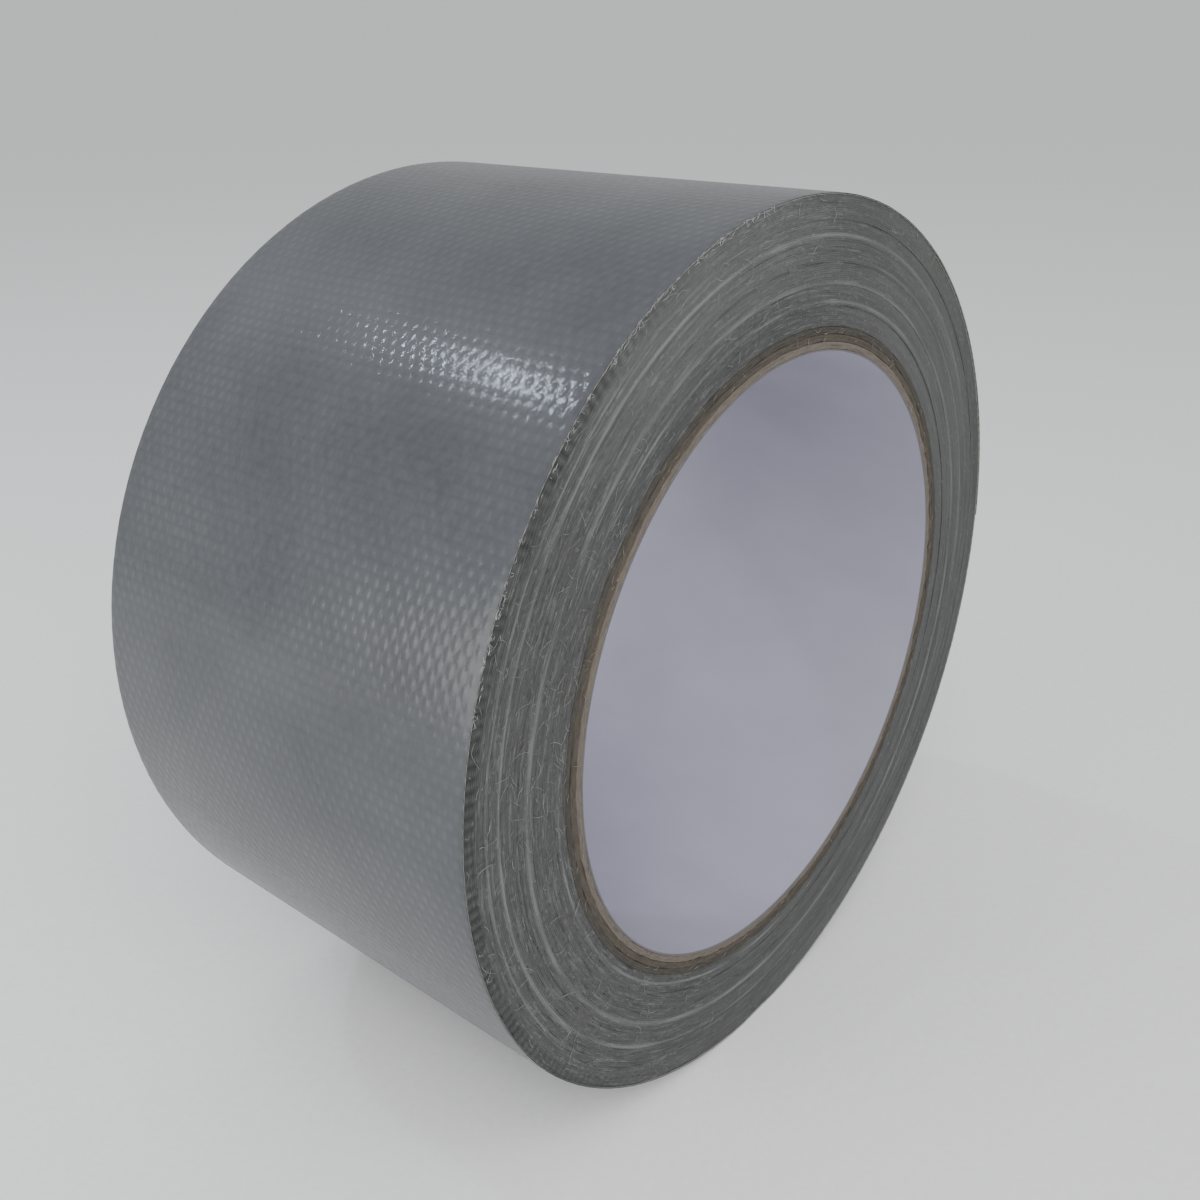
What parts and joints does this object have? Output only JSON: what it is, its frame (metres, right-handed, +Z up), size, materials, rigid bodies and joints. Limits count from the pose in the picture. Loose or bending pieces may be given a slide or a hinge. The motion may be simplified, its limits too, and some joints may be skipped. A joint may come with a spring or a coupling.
{
  "type": "duct tape roll",
  "caption": "Roll of silver cloth-backed duct tape on a paper core, with a free end that peels off the roll.",
  "frame": {"origin": "middle of the roll, on the core's axis, with the roll standing on its rim", "axes": "+Y along the core's axis from the front face to the back face, +Z up, the free end on the +X side"},
  "size_m": [0.1118, 0.0596, 0.1116],
  "materials": {
    "liner_paper": "matte",
    "kraft_paper": "matte",
    "wound_tape": "matte",
    "silver_film": "satin",
    "gummed_cloth": "matte"
  },
  "bodies": {
    "roll": {"core_liner_ply": "liner_paper", "core_inner_ply": "kraft_paper", "core_middle_ply": "kraft_paper", "core_outer_ply": "kraft_paper", "tape_band_1": "wound_tape", "tape_band_2": "wound_tape", "tape_band_3": "wound_tape", "tape_band_4": "wound_tape", "tape_band_5": "wound_tape", "tape_band_6": "wound_tape", "last_turn_cloth": "gummed_cloth", "last_turn_film": "silver_film"},
    "tail_1": {"tail_cloth_1": "gummed_cloth", "tail_film_1": "silver_film"},
    "tail_2": {"tail_cloth_2": "gummed_cloth", "tail_film_2": "silver_film"},
    "tail_3": {"tail_cloth_3": "gummed_cloth", "tail_film_3": "silver_film"},
    "tail_4": {"tail_cloth_4": "gummed_cloth", "tail_film_4": "silver_film"},
    "tail_5": {"tail_cloth_5": "gummed_cloth", "tail_film_5": "silver_film"},
    "tail_6": {"tail_cloth_6": "gummed_cloth", "tail_film_6": "silver_film"}
  },
  "joints": [
    {"name": "tail_lift_1", "type": "hinge", "parent": "roll", "child": "tail_1", "pos_m": [0.03103, 0, 0.04643], "axis": [0, -1, 0], "range_deg": [0, 34]},
    {"name": "tail_lift_2", "type": "hinge", "parent": "tail_1", "child": "tail_2", "pos_m": [0.03773, 0, 0.04118], "axis": [0, -1, 0], "range_deg": [0, 29]},
    {"name": "tail_lift_3", "type": "hinge", "parent": "tail_2", "child": "tail_3", "pos_m": [0.04356, 0, 0.03496], "axis": [0, -1, 0], "range_deg": [0, 24.7]},
    {"name": "tail_lift_4", "type": "hinge", "parent": "tail_3", "child": "tail_4", "pos_m": [0.04838, 0, 0.02793], "axis": [0, -1, 0], "range_deg": [0, 21]},
    {"name": "tail_lift_5", "type": "hinge", "parent": "tail_4", "child": "tail_5", "pos_m": [0.05207, 0, 0.02025], "axis": [0, -1, 0], "range_deg": [0, 17.8]},
    {"name": "tail_lift_6", "type": "hinge", "parent": "tail_5", "child": "tail_6", "pos_m": [0.05455, 0, 0.01209], "axis": [0, -1, 0], "range_deg": [0, 15.2]}
  ],
  "couplings": [
    {"joint": "tail_lift_2", "follows": "tail_lift_1", "ratio": 0.85},
    {"joint": "tail_lift_3", "follows": "tail_lift_1", "ratio": 0.7225},
    {"joint": "tail_lift_4", "follows": "tail_lift_1", "ratio": 0.6141},
    {"joint": "tail_lift_5", "follows": "tail_lift_1", "ratio": 0.522},
    {"joint": "tail_lift_6", "follows": "tail_lift_1", "ratio": 0.4437}
  ]
}
